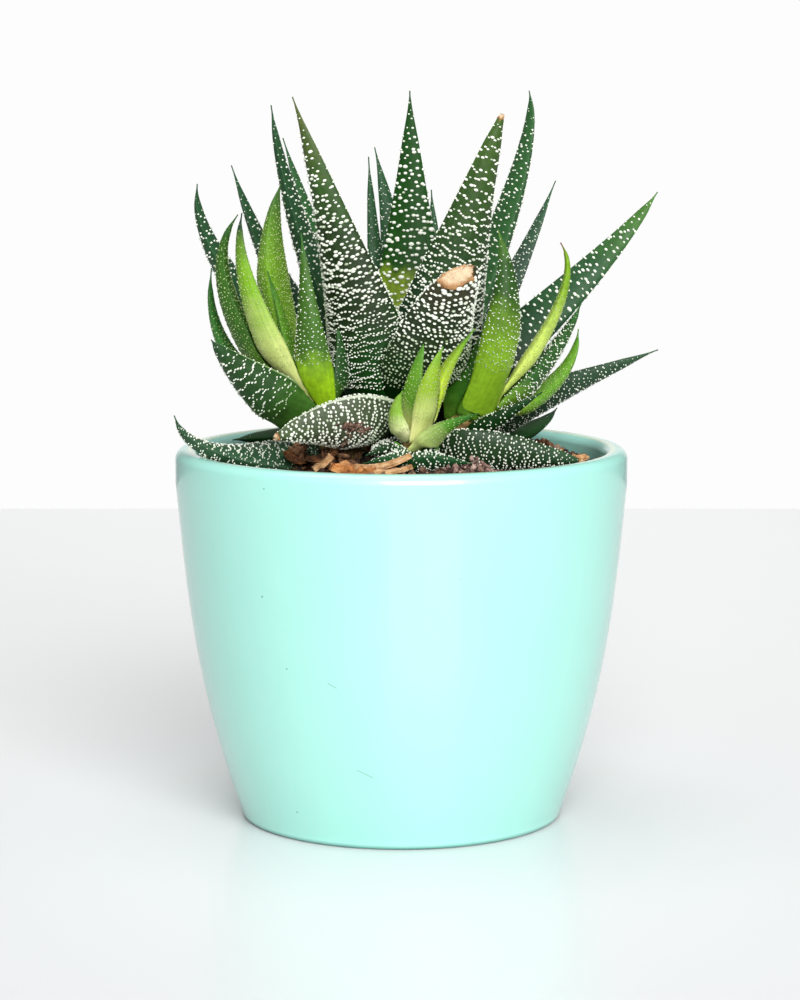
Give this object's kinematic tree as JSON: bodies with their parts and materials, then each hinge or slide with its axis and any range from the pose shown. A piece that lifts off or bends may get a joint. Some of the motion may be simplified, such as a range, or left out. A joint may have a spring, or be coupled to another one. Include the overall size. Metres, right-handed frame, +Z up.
{
  "type": "potted haworthia",
  "caption": "Small succulent with stiff pointed leaves covered in white tubercles, with offsets, in a round glazed pot of soil.",
  "frame": {"origin": "middle of the pot's flat underside", "axes": "+Z up out of the pot; the side shown in the picture faces -Y, with +X to its right"},
  "size_m": [0.0866, 0.08, 0.1286],
  "materials": {
    "glaze": "glossy mint glaze",
    "soil": "loose dark potting mix",
    "leaf_dark": "satin dark green skin",
    "leaf_green": "satin green skin",
    "leaf_bright": "satin yellow-green skin",
    "tubercle": "matt white",
    "stem": "matt, sheathed in dry leaf bases",
    "bark": "rough bark chips",
    "dry_leaf": "dry, papery"
  },
  "bodies": {
    "root": {"pot": "glaze", "soil": "soil", "main_stem": "stem", "left_stem": "stem", "right_stem": "stem", "front_stem": "stem", "main_front_stub_leaf": "leaf_dark", "main_front_left_leaf": "leaf_dark", "main_front_right_cut_leaf": "leaf_dark", "main_front_left_cut_leaf": "leaf_dark", "main_right_spread_leaf": "leaf_dark", "main_right_low_leaf": "leaf_dark", "main_front_right_low_leaf": "leaf_dark", "main_left_low_leaf": "leaf_dark", "main_back_upright_leaf": "leaf_dark", "main_right_tall_leaf": "leaf_dark", "main_left_tall_leaf": "leaf_dark", "main_left_tall_rear_leaf": "leaf_dark", "main_left_rear_leaf": "leaf_dark", "main_left_spread_leaf": "leaf_dark", "main_back_left_wide_leaf": "leaf_dark", "main_back_left_slim_leaf": "leaf_dark", "main_back_right_slim_leaf": "leaf_dark", "main_right_rear_leaf": "leaf_dark", "main_left_rear_low_leaf": "leaf_dark", "main_right_rear_low_leaf": "leaf_dark", "main_front_small_leaf": "leaf_dark", "main_hidden_back_leaf": "leaf_dark", "main_hidden_back_left_leaf": "leaf_dark", "main_hidden_back_right_leaf": "leaf_dark", "main_heart_leaf": "leaf_dark", "main_heart_left_leaf": "leaf_dark", "main_heart_right_leaf": "leaf_dark", "left_inner_wide_leaf": "leaf_bright", "left_bright_leaf": "leaf_bright", "left_outer_leaf": "leaf_green", "left_front_leaf": "leaf_green", "left_low_leaf": "leaf_dark", "left_far_leaf": "leaf_green", "left_inner_small_leaf": "leaf_green", "left_right_small_leaf": "leaf_green", "right_front_wide_leaf": "leaf_green", "right_curved_leaf": "leaf_bright", "right_outer_leaf": "leaf_green", "right_outer_rear_leaf": "leaf_green", "right_inner_leaf": "leaf_dark", "right_low_leaf": "leaf_dark", "front_upright_leaf": "leaf_bright", "front_bright_leaf": "leaf_bright", "front_right_leaf": "leaf_bright", "front_low_right_leaf": "leaf_bright", "front_low_left_leaf": "leaf_bright", "front_under_right_leaf": "leaf_dark", "front_under_left_leaf": "leaf_dark", "bark_curl": "bark", "bark_shard": "bark", "bark_left": "bark", "bark_right": "bark", "dry_leaf_end": "dry_leaf"}
  },
  "joints": []
}
